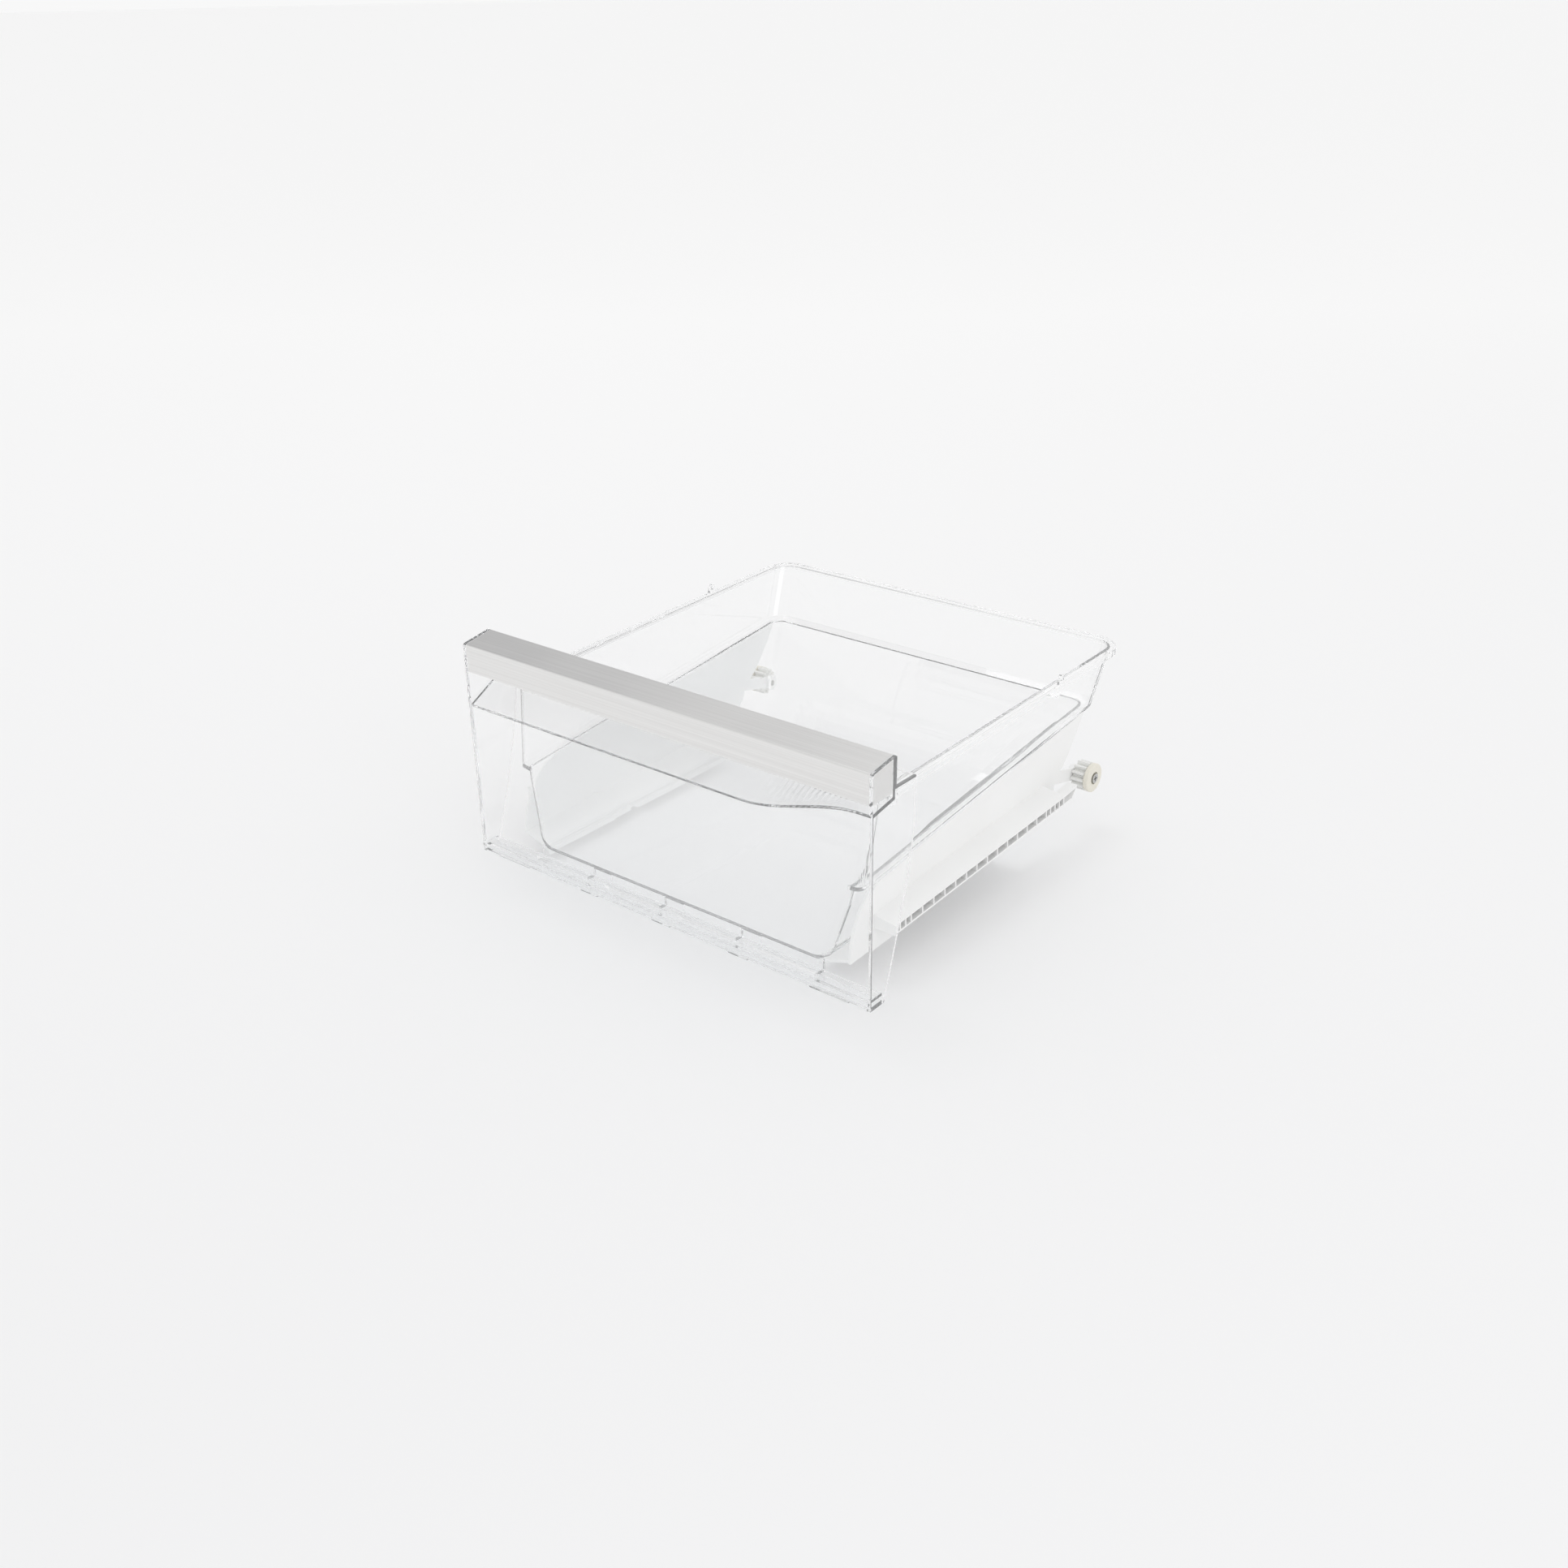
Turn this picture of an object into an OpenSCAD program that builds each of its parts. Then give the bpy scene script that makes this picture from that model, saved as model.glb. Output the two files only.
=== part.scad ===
// Clear crisper drawer: a tub with a clip-on front cover, a brushed metal handle trim,
// two white side rails, and a free pinion and roller on a screw at the rear of each rail.
// X runs across the width, Y from front to rear and Z up; the origin is the middle of the base.

/* [Front cover] */
// How much wider the front cover is than the tub between its rims
cover_w = 46; // [40:1:54]
// Wall of the front cover
cover_t = 2.6; // [2:0.1:3.2]
// Thickness of each side cheek
cheek_t = 3; // [2.4:0.1:4]
// Height of the handle's front top edge over the tub's rim
handle_h = 36.5; // [34:0.5:42]
// How much higher the handle is at its rear edge
handle_rise = 4.4; // [2:0.2:6]
// Depth of the handle from front to rear
handle_d = 27; // [24:0.5:30]
// Distance from the trim's lower edge down to the step under the finger scoop, at its right end
step_h = 7; // [6:0.5:10]
// How much lower the level part of that step is
step_rise = 21; // [10:1:26]
// Rise of the scoop's sloping face over the level part
scoop_rise = 13.5; // [8:0.5:16]
// Rise of the scoop's sloping face at the right end
scoop_end_rise = 4.5; // [2:0.5:6]
// Height of the shelf behind the handle over the tub's rim
shelf_h = 18.5; // [16:0.5:22]
// How far the shelf and the cheeks reach back behind the handle
cheek_top_d = 23; // [20:0.5:28]
// Depth of the cheeks at the foot
cheek_foot_d = 16; // [15.5:0.5:18]

/* [Foot channel] */
// Depth of the two foot flanges
foot_d = 15; // [12:0.5:15]
// Height of the foot channel over both flanges
foot_h = 8.4; // [7.5:0.1:9]
// Wall of the two foot flanges
foot_t = 2.4; // [2:0.1:2.6]
// Length of the long slots under the front edge
slot_l = 58; // [40:1:64]
// Height of those slots
slot_h = 1.2; // [0.8:0.1:1.6]
// Distance from slot to slot
slot_pitch = 77.5; // [70:0.5:84]

/* [Handle trim] */
// Sheet thickness of the trim
trim_t = 0.8; // [0.6:0.1:1]
// Radius of the trim's front top bend
trim_r = 2.6; // [2:0.1:3.5]
// Height of the trim's front face
trim_low = 23; // [20:0.5:25]

/* [Tub] */
// Wall of the tub
tub_t = 2.2; // [1.8:0.1:2.6]
// Height of the tub's underside
tub_low = 12.4; // [12.4:0.1:14]
// How far the lower side walls lean out, from the floor's radius up to the shoulder
floor_hw = 13; // [8:0.5:16]
// Radius between the floor and the side walls
floor_r = 14; // [10:0.5:20]
// Width of the shoulder at each side
low_hw = 8; // [6:0.5:10]
// How far the upper side walls lean out, from the shoulder to the rim
high_hw = 4; // [2:0.5:6]
// Half width of the tub at its rim
rim_hw = 177; // [160:1:200]
// Gap between the foot channel and the tub's front wall at its floor
front_low = 3; // [2.5:0.5:5]
// Gap between the handle and the tub's front wall at its rim
front_high = 6.5; // [6.5:0.5:9]
// Distance from the back sweep's upper end to the tub's rear under the shoulder
sweep_y = 16; // [10:1:24]
// Depth of the back sweep
sweep_d = 100; // [95:1:104]
// Distance from the back sweep's upper end up to the shoulder
sweep_h = 11.8; // [8:0.2:16]
// Depth of the shoulder at the rear
rear_low = 9; // [7:0.5:12]
// How far the upper rear wall leans back, from the shoulder to the rim
rear_mid = 18; // [14:0.5:22]
// Rear of the tub at its rim, behind the cover's face
rear_high = 376; // [366:1:400]
// Height of the shoulder, carried forward to the cover's face
shoulder_h = 72.2; // [68:0.2:76]
// Slope of the shoulder, in degrees
shoulder_tilt = 6; // [5:0.1:6.5]
// Height of the rim, carried forward to the cover's face
rim_h = 147.5; // [136:0.5:170]
// Slope of the rim, in degrees
rim_tilt = 1.3; // [0.8:0.1:1.6]
// Plan radius of the tub's front corners
front_r = 6; // [4:0.5:8]
// Plan radius of the tub's rear corners under the shoulder
corner_r = 12; // [8:1:15]
// Plan radius of the tub's rear corners at the rim
rim_r = 18; // [12:1:24]
// Overhang of the rim lip
lip_w = 5; // [4.6:0.1:5]
// Height of the lip's hanging edge
lip_h = 5.5; // [4:0.5:7]
// Thickness of the lip's hanging edge
lip_t = 1.8; // [1.4:0.1:2.2]
// Place of the rim tabs behind the cover's face
tab_y = 276; // [200:1:320]
// Radius of a rim tab
tab_r = 3.6; // [3:0.1:4.5]

/* [Side rails] */
// Distance from the tub's wall under the shoulder to the rail's wall
rail_hw = 1; // [0.6:0.1:2]
// Wall of the rails
rail_t = 2.2; // [1.8:0.1:2.4]
// Height of the underside of the rails at their inner edge
rail_low = 7.4; // [6.4:0.2:9]
// Gap between the tongues of the tub and the front end of the rails
rail_front = 0.3; // [0.3:0.1:2]
// Slant of the ledge under the tub at its front end, in degrees
ledge_slant = 18; // [14:1:20]
// How much steeper that ledge is at its rear end, in degrees
ledge_twist = 11; // [6:1:12]
// How far the flange stands out from the rail's wall
flange_hw = 19.8; // [16:0.2:21]
// Height of the flange's underside at its front end
flange_h = 36.6; // [34:0.2:39]
// Height of the open cells in the flange
cell_h = 8.4; // [7:0.2:9]
// Slope of the flange, in degrees
flange_tilt = 2.4; // [2:0.1:2.6]
// Wall of the flange plates and of the webs
web_t = 1.4; // [1:0.1:1.8]
// Length of a wide cell with its web
wide_cell = 14.5; // [12:0.1:15]
// Length of a narrow cell with its web
narrow_cell = 6.8; // [5.6:0.1:7.4]

/* [Pinions and rollers] */
// Distance of the axles behind the flange's last web
axle_y = 55.5; // [50:0.5:60]
// Height of the axles
axle_h = 48.6; // [46:0.2:50]
// Radius of the axle screw's plain shank
axle_r = 3; // [2.5:0.1:3.4]
// Running clearance of a pinion or roller on its axle
run_gap = 0.05; // [0.02:0.01:0.1]
// Number of pinion teeth
teeth = 12; // [10:1:14]
// Tooth size as pitch diameter over the number of teeth
tooth_module = 1.75; // [1.6:0.05:1.85]
// Face width of a pinion
pinion_w = 11.4; // [10:0.1:12]
// Radius of a roller
roller_r = 12.4; // [11:0.1:13]
// Width of a roller
roller_w = 4.4; // [4:0.1:5]
// Radius of the screw head
head_r = 4.2; // [3.8:0.1:5]

/* [Hidden] */
$fn = 48;
// Gap between pieces that lie side by side
seat_gap = 0.3;
// Overrun of cuts
over = 1;
// Whole depth, from the trim's face to the edge of the rear lip
rim_rear = rear_high + lip_w;
mid_y = rim_rear / 2;
// Half widths, from the rim in to the floor and out to the cover's cheeks
cover_hw = rim_hw + cover_w / 2;
high_x = rim_hw - high_hw;
low_x = high_x - low_hw;
floor_x = low_x - floor_hw - floor_r;
// Depths of the tub's front and rear walls and of its back sweep
front_foot = foot_d + front_low;
front_top = handle_d + front_high;
rear_brow = rear_high - rear_mid;
rear_foot = rear_brow - rear_low;
sweep_front = rear_foot - sweep_y - sweep_d;
sweep_rise = shoulder_h - sweep_h - tub_low;
// Heights of the handle, the trim's lower edge and the shelf, and the rear of the shelf
handle_top = rim_h + handle_h;
trim_z = handle_top - trim_low;
shelf_z = rim_h + shelf_h;
shelf_rear = handle_d + cheek_top_d;

// Colours
clear_tint = [0.86, 0.9, 0.92, 0.35];
metal_tint = [0.78, 0.77, 0.75];
rail_tint = [0.95, 0.95, 0.94];
pinion_tint = [0.86, 0.86, 0.84];
roller_tint = [0.9, 0.87, 0.78];
steel_tint = [0.6, 0.6, 0.6];

// Moves a shape from the cover's face to the middle of the base
module at_base() {
    translate([0, -mid_y, 0]) children();
}

// Extrudes a side view, drawn as depth and height, from one X to another
module side_view(from_x, to_x) {
    translate([from_x, 0, 0])
        rotate([90, 0, 90])
            linear_extrude(to_x - from_x) children();
}

// Extrudes a front view, drawn as width and height, from one depth to another
module depth_run(from_y, to_y) {
    translate([0, to_y, 0])
        rotate([90, 0, 0])
            linear_extrude(to_y - from_y) children();
}

function backward(list) = [for (i = [len(list) - 1:-1:0]) list[i]];
// A closed skin over outlines that follow one another; each runs the same way round with as many corners
module loft(outlines) {
    n = len(outlines[0]);
    end = n * (len(outlines) - 1);
    polyhedron(
        [for (outline = outlines) for (p = outline) p],
        concat(
            [for (j = [1:n - 2]) [0, j, j + 1]],
            [for (j = [1:n - 2]) [end, end + j + 1, end + j]],
            [for (i = [0:n:end - n]) for (j = [0:n - 1])
                let (next = i + (j + 1) % n) [i + j, i + j + n, next]],
            [for (i = [0:n:end - n]) for (j = [0:n - 1])
                let (next = i + (j + 1) % n) [next, i + j + n, next + n]]
        ));
}

// Front cover
// The step under the scoop is level, then climbs in a soft S to the right end
step_from_share = 0.21;
step_to_share = 0.475;
function soft(u) = u <= 0 ? 0 : u >= 1 ? 1 : u * u * (3 - 2 * u);
function climb(x) =
    soft((x / (2 * cover_hw) - step_from_share) / (step_to_share - step_from_share));
function step_at(x) = trim_z - step_h - step_rise * (1 - climb(x));
function scoop_at(x) = scoop_rise + (scoop_end_rise - scoop_rise) * climb(x);
// The lip behind the trim, and the slope of the handle's top
lip_front = trim_t + seat_gap;
top_slope = handle_rise / handle_d;
top_angle = atan(top_slope);
// Side outline of the handle's front and bend up to its sloping top, at an inset from the face
bend_z = handle_top + trim_r * top_slope - trim_r / cos(top_angle);
bend_steps = 6;
function bend(inset) =
    [for (i = [0:bend_steps])
        let (a = (90 - top_angle) * i / bend_steps, r = trim_r - inset)
        [trim_r - r * cos(a), bend_z + r * sin(a)]];
function top_end(y, inset) = [y, handle_top + top_slope * y - inset / cos(top_angle)];
function top_at(y) = handle_top + top_slope * y - trim_t - seat_gap;
// Where the recess wall stands, and the underside of the handle's top above it
recess_y = handle_d - cover_t;
// Side view of the scoop's sloping face, with the corners that the panel and the recess wall run into
function slope_view(x) =
    let (low = step_at(x), high = low + scoop_at(x))
    [[0, low], [0, low - cover_t], [cover_t, low - cover_t],
        [handle_d, high - cover_t], [handle_d, high], [recess_y, high]];
// Stations across the width; the step is level before the climb and after it
shell_hw = cover_hw - cheek_t / 2;
climb_steps = 20;
function climb_x(i) =
    2 * cover_hw * (step_from_share + (step_to_share - step_from_share) * i / climb_steps);
stations = concat([-shell_hw], [for (i = [0:climb_steps]) climb_x(i)], [shell_hw]);
module cover_slope() {
    loft([for (x = stations) [for (p = slope_view(x)) [x, p[0], p[1]]]]);
}
// The panel under the scoop, and the recess wall above it
module cover_panel() {
    depth_run(0, cover_t)
        polygon(concat([[shell_hw, 0], [-shell_hw, 0]],
            [for (x = stations) [x, step_at(x) - cover_t / 2]]));
    depth_run(recess_y, handle_d)
        polygon(concat([for (side = [1, -1]) [side * shell_hw, top_at(recess_y) - cover_t / 2]],
            [for (x = stations) [x, step_at(x) + scoop_at(x) - cover_t / 2]]));
}
// The handle's top and lip under the trim stop short of the trim's end tabs
module cover_top() {
    lip_rear = lip_front + cover_t;
    top_hw = cover_hw - cheek_t - trim_t - 2 * seat_gap;
    side_view(-top_hw, top_hw)
        polygon(concat([[lip_front, trim_z + seat_gap]], bend(lip_front),
            [[handle_d, top_at(handle_d)], [handle_d, top_at(handle_d) - cover_t],
            [lip_rear, top_at(lip_rear) - cover_t], [lip_rear, trim_z + seat_gap]]));
    side_view(-shell_hw, shell_hw) {
        polygon([[recess_y, top_at(recess_y)], [handle_d, top_at(handle_d)],
            [handle_d, top_at(handle_d) - cover_t], [recess_y, top_at(recess_y) - cover_t]]);
        translate([recess_y + cover_t / 2, shelf_z - cover_t])
            square([shelf_rear - recess_y - cover_t / 2, cover_t]);
    }
}

// The rear edge of a cheek runs straight, then narrows to the foot in a long curve
cheek_bend_share = 0.8;
cheek_steps = 12;
cheek_power = 1.35;
function cheek_edge(u) = cheek_foot_d + (shelf_rear - cheek_foot_d) * (1 - pow(1 - u, cheek_power));
module cheek_view() {
    straight = shelf_z * cheek_bend_share;
    polygon(concat(
        [[0, 0]], bend(0), [top_end(handle_d, 0), [handle_d, shelf_z], [shelf_rear, shelf_z]],
        [for (i = [cheek_steps:-1:0]) [cheek_edge(i / cheek_steps), straight * i / cheek_steps]]
    ));
}

// Two flanges form a channel along the foot; slots under the front edge leave short tabs
slot_count = 4;
end_slot_l = 26;
module foot() {
    for (z = [0, foot_h - foot_t])
        side_view(-shell_hw, shell_hw)
            translate([cover_t / 2, z]) square([foot_d - cover_t / 2, foot_t]);
}
module foot_slots() {
    first = -slot_pitch * (slot_count - 1) / 2;
    for (i = [0:slot_count - 1])
        translate([first + i * slot_pitch - slot_l / 2, -over, -over])
            cube([slot_l, cover_t + over, slot_h + over]);
    for (side = [-1, 1])
        translate([side * (first - slot_pitch) - end_slot_l / 2, -over, -over])
            cube([end_slot_l, cover_t + over, slot_h + over]);
}

// A clip hangs from each end of the shelf beside the rim and holds it by a window
clip_l = 10;
window_l = 5;
window_edge = 3;
clip_in = rim_hw + lip_w + seat_gap;
clip_rear = shelf_rear - cover_t;
window_z = rim_h - lip_h / 2;
clip_low = window_z - window_edge;
module clip(side) {
    mirror([side < 0 ? 1 : 0, 0, 0])
        difference() {
            translate([clip_in, clip_rear - clip_l, clip_low])
                cube([cover_t, clip_l, shelf_z - cover_t / 2 - clip_low]);
            translate([clip_in - over, clip_rear - clip_l / 2 - window_l / 2, window_z])
                cube([cover_t + 2 * over, window_l, window_l]);
        }
}

module front_cover() {
    color(clear_tint) at_base() {
        cover_slope();
        cover_top();
        difference() {
            union() {
                cover_panel();
                foot();
            }
            foot_slots();
        }
        for (side = [-1, 1]) {
            translate([side * (cover_hw - cheek_t / 2), 0, 0])
                side_view(-cheek_t / 2, cheek_t / 2) cheek_view();
            clip(side);
        }
    }
}

// Handle trim: a sheet bent over the front and top of the handle, with an end tab by each cheek
trim_hw = cover_hw - cheek_t - seat_gap;
tab_rear = recess_y - seat_gap;
module trim_sheet() {
    polygon(concat(
        [[0, trim_z]], bend(0), [top_end(handle_d, 0)],
        [top_end(handle_d, trim_t)], backward(bend(trim_t)), [[trim_t, trim_z]]
    ));
}
module trim_end() {
    polygon(concat([[0, trim_z]], bend(0), [top_end(tab_rear, 0), [tab_rear, trim_z]]));
}
module handle_trim() {
    color(metal_tint) at_base() {
        side_view(-trim_hw, trim_hw) trim_sheet();
        side_view(-trim_hw, -trim_hw + trim_t) trim_end();
        side_view(trim_hw - trim_t, trim_hw) trim_end();
    }
}

// Tub
// Half width, rear and height of the tub's lower body on the sweep, inset by a wall
function side_at(z, inset) =
    let (h = z - tub_low - inset, r = floor_r - inset)
    h < r ? floor_x + sqrt(r * r - (r - h) * (r - h))
          : floor_x + r + floor_hw * (h - r) / (shoulder_h - tub_low - floor_r);
function front_at(z) = front_foot + (front_top - front_foot) * (z - tub_low) / (rim_h - tub_low);
// A level outline with round corners at the front and rear, or one that rises to the rear by a tilt
corner_steps = 6;
function outline(z, hw, front, rear, near_r, far_r, tilt) =
    let (corners = [[-hw + near_r, front + near_r, near_r], [hw - near_r, front + near_r, near_r],
        [hw - far_r, rear - far_r, far_r], [-hw + far_r, rear - far_r, far_r]])
    [for (i = [0:3]) for (step = [0:corner_steps])
        let (c = corners[i], a = 90 * (i + 2 + step / corner_steps), y = c[1] + c[2] * sin(a))
        [c[0] + c[2] * cos(a), y, z + y * tan(tilt)]];
// The outlines of one side of the wall, from the floor up the sweep and over the shoulder
sweep_step = 7.5;
shoulder_rise = 1;
function body(inset) =
    let (near_r = front_r - inset, brow = shoulder_h + shoulder_rise)
    concat(
        [for (a = [0:sweep_step:90])
            let (z = tub_low + inset + (sweep_rise - inset) * (1 - cos(a)))
            outline(z, side_at(z, inset), front_at(z) + inset,
                sweep_front + (sweep_d - inset) * sin(a), near_r, corner_r - inset, 0)],
        [outline(shoulder_h + inset, low_x - inset, front_at(shoulder_h) + inset,
            rear_foot - inset, near_r, corner_r - inset, shoulder_tilt),
        outline(brow + inset, high_x - inset, front_at(brow) + inset,
            rear_brow - inset, near_r, rim_r - inset, shoulder_tilt)]);
// The outlines of the lip, which runs round the rim and turns down at its edge
function rim(z, out) =
    outline(z, rim_hw + out, front_top - out, rear_high + out, front_r + out, rim_r + out, rim_tilt);
function lip() =
    [rim(rim_h - tub_t, 0), rim(rim_h - tub_t, lip_w - lip_t), rim(rim_h - lip_h, lip_w - lip_t),
        rim(rim_h - lip_h, lip_w), rim(rim_h, lip_w), rim(rim_h, -tub_t)];

// Two small round tabs with a hole stand on the side rims
tab_t = 2;
tab_hole_r = 1.5;
module rim_tab(side) {
    top = rim_h + tab_y * tan(rim_tilt);
    translate([side * (rim_hw + lip_w - tab_t / 2), tab_y, top])
        side_view(-tab_t / 2, tab_t / 2)
            difference() {
                union() {
                    translate([-tab_r, -tub_t / 2]) square([2 * tab_r, tab_r + tub_t / 2]);
                    translate([0, tab_r]) circle(tab_r);
                }
                translate([0, tab_r]) circle(tab_hole_r);
            }
}

// Tongues on the front wall reach into the foot channel; nubs catch the cover's clips
tongue_in = 4;
nub_w = 1.6;
nub_l = window_l - 2 * seat_gap;
module tongues() {
    first = -slot_pitch * (slot_count - 1) / 2;
    low = foot_t + seat_gap;
    tall = foot_h - 2 * foot_t - 2 * seat_gap;
    for (i = [0:slot_count - 1])
        translate([first + i * slot_pitch - slot_l / 2, 0, 0]) {
            translate([0, foot_d - tongue_in, low])
                cube([slot_l, front_low + tongue_in + tub_t, tall]);
            translate([0, front_foot, low])
                cube([slot_l, tub_t, tub_low - low + tub_t]);
        }
}
module nub(side) {
    mirror([side < 0 ? 1 : 0, 0, 0])
        translate([rim_hw + lip_w - over / 2, clip_rear - clip_l / 2 - nub_l / 2, window_z + seat_gap])
            cube([nub_w + over / 2, nub_l, lip_h / 2 - seat_gap]);
}

module tub() {
    color(clear_tint) at_base() {
        loft(concat(body(0), lip(), backward(body(tub_t))));
        tongues();
        for (side = [-1, 1]) {
            rim_tab(side);
            nub(side);
        }
    }
}

// Side rails, drawn for the right side and mirrored for the left
rail_x = low_x + rail_hw;
rail_out = rail_x + rail_t;
rail_mid = rail_x + rail_t / 2;
rail_start = front_foot + tub_t + rail_front;
function shoulder_at(y) = shoulder_h + y * tan(shoulder_tilt);
// The ledge follows the round corner under the tub at a small gap, and gets steeper toward the rear
heel_d = 9;
heel_y = rear_foot - sweep_d - heel_d;
ledge_steps = 8;
function ledge_y(i) = rail_start + (heel_y - rail_start) * i / ledge_steps;
function ledge_angle(i) = ledge_slant + ledge_twist * i / ledge_steps;
function ledge_at(x, i) =
    tub_low + floor_r - (floor_r + seat_gap) / cos(ledge_angle(i)) + (x - floor_x) * tan(ledge_angle(i));
function wall_foot(i) = ledge_at(rail_mid, i) - 1.5 * rail_t;
module rail_ledge() {
    loft([for (i = [0:ledge_steps])
        let (out = ledge_at(rail_mid, i), in = ledge_at(floor_x, i))
        [for (p = [[rail_mid, out - rail_t], [floor_x, in - rail_t], [floor_x, in], [rail_mid, out]])
            [p[0], ledge_y(i), p[1]]]]);
    translate([floor_x, rail_start, rail_low])
        cube([rail_t, heel_y - rail_start, tub_low - seat_gap - rail_low]);
}

// Front end of the wall: a quarter ellipse from the ledge up to the shoulder
nose_d = 55;
nose_y = rail_start + nose_d;
// Rear end of the wall: a long arc down from the shoulder, then forward under the sweep
tail_share = [[0.0, 0.0], [0.28, 0.36], [0.6, 0.7], [1.0, 1.0]];
tail_gap = 4;
tail_d = 45;
tail_drop = 6.4;
tail_top_y = rear_foot - tail_gap;
tail_low_y = tail_top_y - tail_d;
tail_low_z = tub_low + sweep_rise - tail_drop;
module rail_wall() {
    nose_z = wall_foot(0) + rail_t;
    top = shoulder_at(nose_y) - seat_gap;
    tail_top = shoulder_at(tail_top_y) - seat_gap;
    heel_z = wall_foot(ledge_steps);
    side_view(rail_x, rail_out)
        polygon(concat(
            [for (a = [0:10:90])
                [nose_y - nose_d * cos(a), nose_z + (top - nose_z) * sin(a)]],
            [for (s = tail_share) [tail_top_y + (tail_low_y - tail_top_y) * s[0],
                tail_top + (tail_low_z - tail_top) * s[1]]],
            [for (a = [10:10:90]) [heel_y + (tail_low_y - heel_y) * cos(a),
                tail_low_z - (tail_low_z - heel_z) * sin(a)]],
            [for (i = [ledge_steps - 1:-1:0]) [ledge_y(i), wall_foot(i)]]
        ));
}

// Flange: two plates joined by webs, open outward as a row of cells
front_cells = 3;
wide_cells = 13;
rear_cells = 4;
flange_drop = 3.5;
flange_front = 45;
flange_x = rail_out + flange_hw;
flange_d = flange_hw + rail_t / 2;
flange_l = (front_cells + rear_cells) * narrow_cell + wide_cells * wide_cell + web_t;
function web_place(i) =
    i <= front_cells ? i * narrow_cell
    : i <= front_cells + wide_cells ? front_cells * narrow_cell + (i - front_cells) * wide_cell
    : (i - wide_cells) * narrow_cell + wide_cells * wide_cell;
module rail_flange() {
    translate([rail_mid, flange_front, flange_h])
        rotate([flange_tilt, 0, 0]) {
            cube([flange_d, flange_l, web_t]);
            depth_run(0, flange_l)
                polygon([[0, cell_h + flange_drop - web_t], [flange_d, cell_h - web_t],
                    [flange_d, cell_h], [0, cell_h + flange_drop]]);
            for (i = [0:front_cells + wide_cells + rear_cells])
                translate([0, web_place(i), 0])
                    depth_run(0, web_t)
                        polygon([[0, 0], [flange_d, 0], [flange_d, cell_h],
                            [0, cell_h + flange_drop]]);
        }
}

// A slanted loop closes the flange at its rear end
hook_l = 15;
hook_slant = 7;
hook_w = 9;
module rail_hook() {
    translate([0, flange_front, flange_h])
        rotate([flange_tilt, 0, 0])
            translate([0, flange_l - web_t, 0])
                side_view(flange_x - hook_w, flange_x)
                    difference() {
                        polygon([[0, 0], [hook_l, 0],
                            [hook_l + hook_slant, cell_h + web_t], [0, cell_h]]);
                        polygon([[web_t, web_t], [hook_l - web_t, web_t],
                            [hook_l + hook_slant - 2 * web_t, cell_h - web_t / 2],
                            [web_t, cell_h - web_t]]);
                    }
}

// An ear reaches back from the wall and ends in the boss that holds the axle screw
boss_r = 7;
boss_w = 6;
arm_w = 11;
arm_rise = 4;
axle_at = flange_front + flange_l + axle_y;
arm_root_z = tail_low_z + arm_rise;
module rail_ear() {
    rise = axle_h - arm_root_z;
    run = axle_at - tail_low_y;
    side_view(rail_x, rail_out)
        translate([tail_low_y, arm_root_z])
            rotate(atan2(rise, run))
                translate([0, -arm_w / 2]) square([norm([run, rise]), arm_w]);
    translate([rail_out - boss_w, axle_at, axle_h])
        rotate([0, 90, 0]) cylinder(r = boss_r, h = boss_w);
}
module rail(side) {
    mirror([side < 0 ? 1 : 0, 0, 0])
        difference() {
            union() {
                rail_wall();
                rail_ledge();
                rail_flange();
                rail_hook();
                rail_ear();
            }
            translate([rail_out - boss_w - over, axle_at, axle_h])
                rotate([0, 90, 0]) cylinder(r = axle_r, h = boss_w + 2 * over);
        }
}
module rail_left() {
    color(rail_tint) at_base() rail(-1);
}
module rail_right() {
    color(rail_tint) at_base() rail(1);
}

// Pinions, rollers and their screws, drawn for the right side and mirrored for the left
pinion_in = rail_out + seat_gap;
roller_in = pinion_in + pinion_w + seat_gap;
head_in = roller_in + roller_w + seat_gap;
pitch_r = tooth_module * teeth / 2;
root_r = pitch_r - 1.25 * tooth_module;
tip_r = pitch_r + tooth_module;
// Half of a tooth's thickness at its root, pitch and tip, as angles
tooth_share = [0.36, 0.25, 0.12];
module axle(side, in_x) {
    mirror([side < 0 ? 1 : 0, 0, 0])
        translate([in_x, axle_at, axle_h])
            rotate([0, 90, 0]) children();
}
module pinion_plan() {
    pitch_angle = 360 / teeth;
    difference() {
        union() {
            circle(root_r);
            for (i = [0:teeth - 1])
                rotate(i * pitch_angle)
                    polygon([for (s = [[0, -1], [1, -1], [2, -1], [2, 1], [1, 1], [0, 1]])
                        let (r = [root_r - tooth_module / 4, pitch_r, tip_r][s[0]],
                            a = s[1] * tooth_share[s[0]] * pitch_angle)
                        [r * cos(a), r * sin(a)]]);
        }
        circle(axle_r + run_gap);
    }
}
module pinion(side) {
    axle(side, pinion_in) linear_extrude(pinion_w) pinion_plan();
}
module pinion_left() {
    color(pinion_tint) at_base() pinion(-1);
}
module pinion_right() {
    color(pinion_tint) at_base() pinion(1);
}

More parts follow.
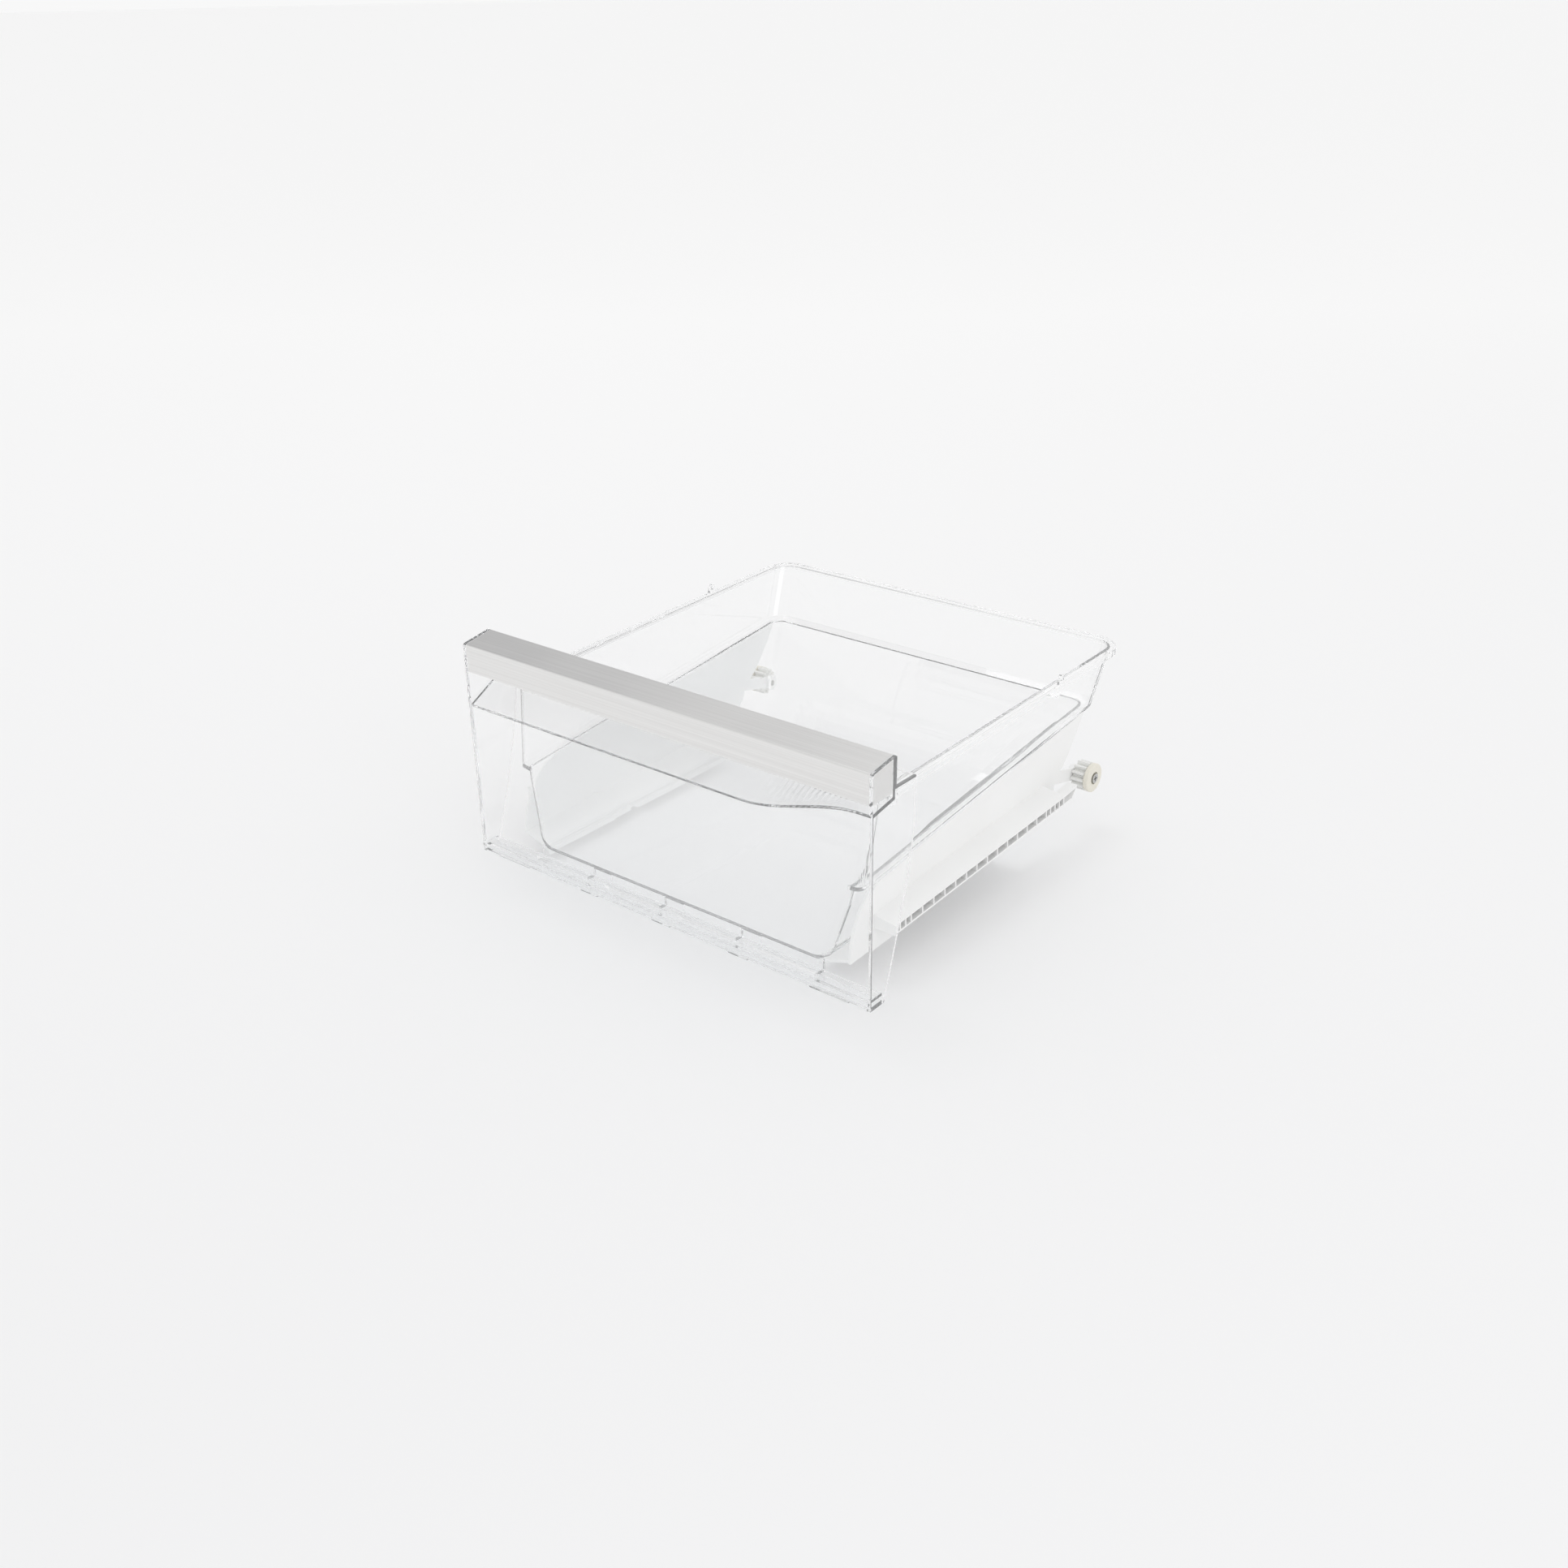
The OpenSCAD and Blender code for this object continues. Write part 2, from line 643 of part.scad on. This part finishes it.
// A roller has rounded edges and a shallow recess round the screw head
edge_r = 0.8;
recess_gap = 1.2;
recess_d = 1.6;
module roller(side) {
    r = axle_r + run_gap;
    face_r = head_r + recess_gap;
    axle(side, roller_in)
        rotate_extrude()
            difference() {
                union() {
                    translate([r, 0]) square([roller_r - edge_r - r, roller_w]);
                    translate([r, edge_r]) square([roller_r - r, roller_w - 2 * edge_r]);
                    for (z = [edge_r, roller_w - edge_r])
                        translate([roller_r - edge_r, z]) circle(edge_r);
                }
                translate([r - over, roller_w - recess_d])
                    square([face_r - r + over, recess_d + over]);
            }
}
module roller_left() {
    color(roller_tint) at_base() roller(-1);
}
module roller_right() {
    color(roller_tint) at_base() roller(1);
}

// The screw's shank passes the roller and pinion and sits in the boss; its head has a cross slot
head_h = 2.2;
slot_w = 1.2;
slot_share = 0.62;
head_seat = head_in - recess_d;
module axle_screw(side) {
    shank_in = rail_out - boss_w;
    axle(side, shank_in)
        difference() {
            union() {
                cylinder(r = axle_r, h = head_seat - shank_in + head_h / 2);
                translate([0, 0, head_seat - shank_in]) cylinder(r = head_r, h = head_h);
            }
            for (turn = [0, 90])
                rotate(turn)
                    translate([-head_r * slot_share, -slot_w / 2, head_seat - shank_in + head_h / 2])
                        cube([2 * head_r * slot_share, slot_w, head_h]);
        }
}
module axle_screw_left() {
    color(steel_tint) at_base() axle_screw(-1);
}
module axle_screw_right() {
    color(steel_tint) at_base() axle_screw(1);
}

tub();
front_cover();
handle_trim();
rail_left();
rail_right();
pinion_left();
pinion_right();
roller_left();
roller_right();
axle_screw_left();
axle_screw_right();
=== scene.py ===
"""A clear crisper drawer on its rail carriers, on a pale studio floor.

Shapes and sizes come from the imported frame, in metres. This script adds materials, floor, light and camera.
"""

import math

import bmesh
import bpy
from mathutils import Matrix, Vector


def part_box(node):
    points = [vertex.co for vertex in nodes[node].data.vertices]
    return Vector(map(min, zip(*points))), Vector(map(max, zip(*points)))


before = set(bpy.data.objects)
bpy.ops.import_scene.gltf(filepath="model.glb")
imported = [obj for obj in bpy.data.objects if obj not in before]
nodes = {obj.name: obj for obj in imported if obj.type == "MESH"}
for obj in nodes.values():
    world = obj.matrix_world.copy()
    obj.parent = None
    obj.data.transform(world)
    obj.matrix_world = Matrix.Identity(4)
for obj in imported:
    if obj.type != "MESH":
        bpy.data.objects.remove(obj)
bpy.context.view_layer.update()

low, high = (Vector(corner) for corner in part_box("front_cover"))
WIDTH = high.x - low.x
FRONT = low.y

# Noise seldom leaves this range, so it is what gets spread over colours and roughness
NOISE_LOW, NOISE_HIGH = 0.3, 0.7

# Clear plastic: its index, the most roughness it has, and what lamp light keeps when it passes a face
CLEAR_IOR = 1.52
CLEAR_ROUGH = 0.025
CLEAR_PASS = (0.985, 0.988, 0.99)

# Opaque plastic: its index, and the scale and depth of its grain
MOULDED_IOR = 1.5
GRAIN_SCALE = 1400
GRAIN_DEPTH = 0.00003

# Floor: half its side, how far it lies under the drawer, and the way and the span of its painted light. The
# colour is painted darker near the camera's side and paler away from it, as painted shade and light for the
# studio light's fall-off
FLOOR_HALF = 60
FLOOR_DROP = 0.0002
FLOOR_PAINTED_LIGHT_WAY = (-0.63, 0.776, 0)
FLOOR_PAINTED_LIGHT_START, FLOOR_PAINTED_LIGHT_END = -0.6, 2.4
# Painted shade near the camera's side and painted light far from it, put into the floor's colour
FLOOR_NEAR_PAINTED_SHADE = (0.88, 0.88, 0.885)
FLOOR_FAR_PAINTED_LIGHT = (0.98, 0.98, 0.98)

# Surroundings: their strength, and the direction, edge, core and colour of the darker patch
SKY_STRENGTH = 0.94
SKY_COLOUR = (1.0, 1.0, 1.0)
PATCH_TOWARD = (-0.86, 0.1, 0.5)
PATCH_EDGE, PATCH_CORE = 0.74, 0.95
PATCH_COLOUR = (0.36, 0.36, 0.37)

# Lamps: where each stands, the point it faces, its side and its power in watts
KEY_LAMP = ((-0.9, 0.1, 2.6), (0, 0, 0), 0.8, 3.5)
FILL_LAMP = ((2.3, -0.9, 1.15), (0, 0, 0.05), 1.2, 5)

# The shot: where the camera stands in drawer widths, what it looks along, its small roll and its lens
SHOT_PLACE = (1.924725, -1.98363, 1.62865)
SHOT_LOOK = Vector((-0.56769394, 0.69831197, -0.43598622))
SHOT_ROLL = math.radians(-0.808)
SHOT_LENS = 38.045
SHOT_SENSOR = 36


# Shader helpers

def new_material(name):
    """A material with its default nodes, its tree and its Principled shader."""
    material = bpy.data.materials.new(name)
    material.use_nodes = True
    tree = material.node_tree
    return material, tree, tree.nodes["Principled BSDF"]


def object_noise(tree, stretch, scale, detail=3.0, rough=0.5):
    """Noise that is fixed to the object, stretched along its axes, as a value around a half."""
    place = tree.nodes.new("ShaderNodeTexCoord")
    spread = tree.nodes.new("ShaderNodeMapping")
    spread.inputs["Scale"].default_value = stretch
    noise = tree.nodes.new("ShaderNodeTexNoise")
    noise.inputs["Scale"].default_value = scale
    noise.inputs["Detail"].default_value = detail
    noise.inputs["Roughness"].default_value = rough
    tree.links.new(place.outputs["Object"], spread.inputs["Vector"])
    tree.links.new(spread.outputs["Vector"], noise.inputs["Vector"])
    return noise.outputs["Fac"]


def mapped(tree, value, from_low, from_high, to_low, to_high):
    """Maps a value from one range to another."""
    spread = tree.nodes.new("ShaderNodeMapRange")
    spread.inputs["From Min"].default_value = from_low
    spread.inputs["From Max"].default_value = from_high
    spread.inputs["To Min"].default_value = to_low
    spread.inputs["To Max"].default_value = to_high
    tree.links.new(value, spread.inputs["Value"])
    return spread.outputs["Result"]


def between(tree, noise, least, most):
    """Spreads noise over a range."""
    return mapped(tree, noise, NOISE_LOW, NOISE_HIGH, least, most)


def ramped(tree, value, start, first, end, second):
    """A colour that goes from the first to the second while a value goes from start to end."""
    ramp = tree.nodes.new("ShaderNodeValToRGB")
    near, far = ramp.color_ramp.elements
    near.position, near.color = start, (*first, 1)
    far.position, far.color = end, (*second, 1)
    tree.links.new(value, ramp.inputs["Fac"])
    return ramp.outputs["Color"]


def tint_between(tree, noise, first, second):
    """A colour between two, by noise."""
    return ramped(tree, noise, NOISE_LOW, first, NOISE_HIGH, second)


def along(tree, place, direction):
    """How far a place lies along a direction."""
    reach = tree.nodes.new("ShaderNodeVectorMath")
    reach.operation = "DOT_PRODUCT"
    reach.inputs[1].default_value = direction
    tree.links.new(place, reach.inputs[0])
    return reach.outputs["Value"]


def bumped(tree, shader, height, depth, strength):
    """Raises the surface by a value over a depth in metres."""
    bump = tree.nodes.new("ShaderNodeBump")
    bump.inputs["Strength"].default_value = strength
    bump.inputs["Distance"].default_value = depth
    tree.links.new(height, bump.inputs["Height"])
    tree.links.new(bump.outputs["Normal"], shader.inputs["Normal"])


# Materials

def pass_light(tree, shader):
    """Lets lamp light and bounced light through unbent, while all other rays meet the shader."""
    clear = tree.nodes.new("ShaderNodeBsdfTransparent")
    clear.inputs["Color"].default_value = (*CLEAR_PASS, 1)
    path = tree.nodes.new("ShaderNodeLightPath")
    light = tree.nodes.new("ShaderNodeMath")
    light.operation = "MAXIMUM"
    mix = tree.nodes.new("ShaderNodeMixShader")
    tree.links.new(path.outputs["Is Shadow Ray"], light.inputs[0])
    tree.links.new(path.outputs["Is Diffuse Ray"], light.inputs[1])
    tree.links.new(light.outputs["Value"], mix.inputs["Fac"])
    tree.links.new(shader.outputs["BSDF"], mix.inputs[1])
    tree.links.new(clear.outputs["BSDF"], mix.inputs[2])
    tree.links.new(mix.outputs["Shader"], tree.nodes["Material Output"].inputs["Surface"])


def clear_plastic(name, tint, density, clarity):
    """Clear moulded polystyrene with a thin cool tint that deepens in long paths."""
    material, tree, shader = new_material(name)
    shader.inputs["Base Color"].default_value = (1, 1, 1, 1)
    shader.inputs["Transmission Weight"].default_value = clarity
    shader.inputs["IOR"].default_value = CLEAR_IOR
    gloss = object_noise(tree, (1, 1, 1), 18)
    tree.links.new(between(tree, gloss, 0.0, CLEAR_ROUGH), shader.inputs["Roughness"])
    flow = object_noise(tree, (0.6, 1, 1), 6, 1.0, 0.4)
    bumped(tree, shader, flow, 0.0002, 0.15)
    pass_light(tree, shader)
    absorb = tree.nodes.new("ShaderNodeVolumeAbsorption")
    absorb.inputs["Color"].default_value = (*tint, 1)
    absorb.inputs["Density"].default_value = density
    tree.links.new(absorb.outputs["Volume"], tree.nodes["Material Output"].inputs["Volume"])
    return material


def brushed_metal():
    """Satin anodised sheet, brushed along its length."""
    material, tree, shader = new_material("brushed_aluminium")
    shader.inputs["Metallic"].default_value = 1.0
    brush = object_noise(tree, (4, 900, 900), 1.0, 4.0, 0.6)
    cloud = object_noise(tree, (1, 1, 1), 7)
    tint = tint_between(tree, brush, (0.8, 0.795, 0.785), (0.88, 0.875, 0.865))
    tree.links.new(tint, shader.inputs["Base Color"])
    tree.links.new(between(tree, cloud, 0.36, 0.44), shader.inputs["Roughness"])
    bumped(tree, shader, brush, 0.00004, 0.5)
    return material


def moulded_plastic(name, first, second, rough):
    """Opaque moulded plastic with a faint grain and a slow drift of tone."""
    material, tree, shader = new_material(name)
    drift = object_noise(tree, (1, 1, 1), 14)
    fine = object_noise(tree, (1, 1, 1), GRAIN_SCALE, 2.0)
    tree.links.new(tint_between(tree, drift, first, second), shader.inputs["Base Color"])
    tree.links.new(between(tree, fine, rough - 0.05, rough + 0.05), shader.inputs["Roughness"])
    shader.inputs["IOR"].default_value = MOULDED_IOR
    bumped(tree, shader, fine, GRAIN_DEPTH, 0.5)
    return material


def steel():
    """Turned steel with fine rings of tool marks."""
    material, tree, shader = new_material("screw_steel")
    shader.inputs["Metallic"].default_value = 1.0
    marks = object_noise(tree, (300, 1500, 1500), 1.0)
    tree.links.new(tint_between(tree, marks, (0.5, 0.5, 0.49), (0.62, 0.62, 0.61)), shader.inputs["Base Color"])
    tree.links.new(between(tree, marks, 0.25, 0.4), shader.inputs["Roughness"])
    bumped(tree, shader, marks, 0.00003, 0.4)
    return material


def pale_paper_painted_light():
    """Matt pale floor paper whose colour is painted darker near the camera's side and paler away from it:
    painted shade and painted light for the light's fall-off.
    """
    material, tree, shader = new_material("pale_paper_painted_light")
    grain = object_noise(tree, (1, 1, 1), 40)
    place = tree.nodes.new("ShaderNodeTexCoord")
    away_for_painted_light = along(tree, place.outputs["Object"], FLOOR_PAINTED_LIGHT_WAY)
    painted_light_share = mapped(tree, away_for_painted_light, FLOOR_PAINTED_LIGHT_START, FLOOR_PAINTED_LIGHT_END, 0, 1)
    # Painted light: the floor colour goes from painted shade near the camera's side to paler painted light far
    # away
    tint = ramped(tree, painted_light_share, 0, FLOOR_NEAR_PAINTED_SHADE, 1, FLOOR_FAR_PAINTED_LIGHT)
    tree.links.new(tint, shader.inputs["Base Color"])
    tree.links.new(between(tree, grain, 0.75, 0.85), shader.inputs["Roughness"])
    shader.inputs["Specular IOR Level"].default_value = 0.1
    return material


def dress(node, material):
    """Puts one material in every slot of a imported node."""
    mesh = nodes[node].data
    if not mesh.materials:
        mesh.materials.append(material)
    for index in range(len(mesh.materials)):
        mesh.materials[index] = material


def dress_drawer():
    """Gives every piece of the drawer its material."""
    dress("tub", clear_plastic("tub_clear", (0.72, 0.78, 0.86), 1.0, 0.96))
    dress("front_cover", clear_plastic("cover_clear", (0.68, 0.74, 0.84), 1.0, 0.975))
    dress("handle_trim", brushed_metal())
    pairs = {
        "rail_": moulded_plastic("rail_white", (0.88, 0.88, 0.875), (0.91, 0.91, 0.905), 0.42),
        "pinion_": moulded_plastic("pinion_white", (0.8, 0.8, 0.78), (0.85, 0.85, 0.83), 0.38),
        "roller_": moulded_plastic("roller_ivory", (0.78, 0.75, 0.66), (0.83, 0.8, 0.71), 0.35),
        "axle_screw_": steel(),
    }
    for side in ("left", "right"):
        for piece, material in pairs.items():
            dress(piece + side, material)


# Studio

def ground():
    """A wide pale floor that fills the picture behind the drawer."""
    mesh = bmesh.new()
    bmesh.ops.create_grid(mesh, x_segments=1, y_segments=1, size=FLOOR_HALF)
    data = bpy.data.meshes.new("floor")
    mesh.to_mesh(data)
    mesh.free()
    floor = bpy.data.objects.new("floor", data)
    floor.location = (0, 0, -FLOOR_DROP)
    bpy.context.scene.collection.objects.link(floor)
    data.materials.append(pale_paper_painted_light())


def lamp(name, where, target, size, power):
    """A square soft box that faces a point."""
    data = bpy.data.lights.new(name, "AREA")
    data.shape = "SQUARE"
    data.size = size
    data.energy = power
    lamp_object = bpy.data.objects.new(name, data)
    lamp_object.location = where
    lamp_object.rotation_euler = (Vector(target) - Vector(where)).to_track_quat("-Z", "Y").to_euler()
    bpy.context.scene.collection.objects.link(lamp_object)


def sky():
    """A bright tent of light with a darker patch at the left, which only mirrored rays see."""
    world = bpy.data.worlds.new("studio")
    bpy.context.scene.world = world
    world.use_nodes = True
    tree = world.node_tree
    place = tree.nodes.new("ShaderNodeTexCoord")
    toward = along(tree, place.outputs["Generated"], PATCH_TOWARD)
    path = tree.nodes.new("ShaderNodeLightPath")
    pick = tree.nodes.new("ShaderNodeMix")
    pick.data_type = "RGBA"
    pick.inputs["A"].default_value = (*SKY_COLOUR, 1)
    back = tree.nodes["Background"]
    tree.links.new(path.outputs["Is Glossy Ray"], pick.inputs["Factor"])
    tree.links.new(ramped(tree, toward, PATCH_EDGE, SKY_COLOUR, PATCH_CORE, PATCH_COLOUR), pick.inputs["B"])
    tree.links.new(pick.outputs["Result"], back.inputs["Color"])
    back.inputs["Strength"].default_value = SKY_STRENGTH


def camera():
    """The camera at the photograph's place, angle and lens."""
    data = bpy.data.cameras.new("shot")
    data.sensor_width = SHOT_SENSOR
    data.lens = SHOT_LENS
    data.clip_start = 0.01
    shot = bpy.data.objects.new("shot", data)
    right = SHOT_LOOK.cross(Vector((0, 0, 1))).normalized()
    up = right.cross(SHOT_LOOK)
    turned_right = right * math.cos(SHOT_ROLL) + up * math.sin(SHOT_ROLL)
    turned_up = up * math.cos(SHOT_ROLL) - right * math.sin(SHOT_ROLL)
    turn = Matrix((turned_right, turned_up, -SHOT_LOOK)).transposed()
    place = Vector((SHOT_PLACE[0] * WIDTH, FRONT + SHOT_PLACE[1] * WIDTH, SHOT_PLACE[2] * WIDTH))
    shot.matrix_world = Matrix.Translation(place) @ turn.to_4x4()
    bpy.context.scene.collection.objects.link(shot)
    bpy.context.scene.camera = shot


def light_paths():
    """Enough bounces for rays to leave the nested clear walls."""
    cycles = bpy.context.scene.cycles
    cycles.max_bounces = 96
    cycles.transmission_bounces = 90
    cycles.transparent_max_bounces = 32
    cycles.glossy_bounces = 16
    cycles.volume_bounces = 0


def main():
    bpy.context.scene.view_settings.view_transform = "Standard"
    camera()
    ground()
    sky()
    lamp("key", *KEY_LAMP)
    lamp("fill", *FILL_LAMP)
    light_paths()
    dress_drawer()


main()
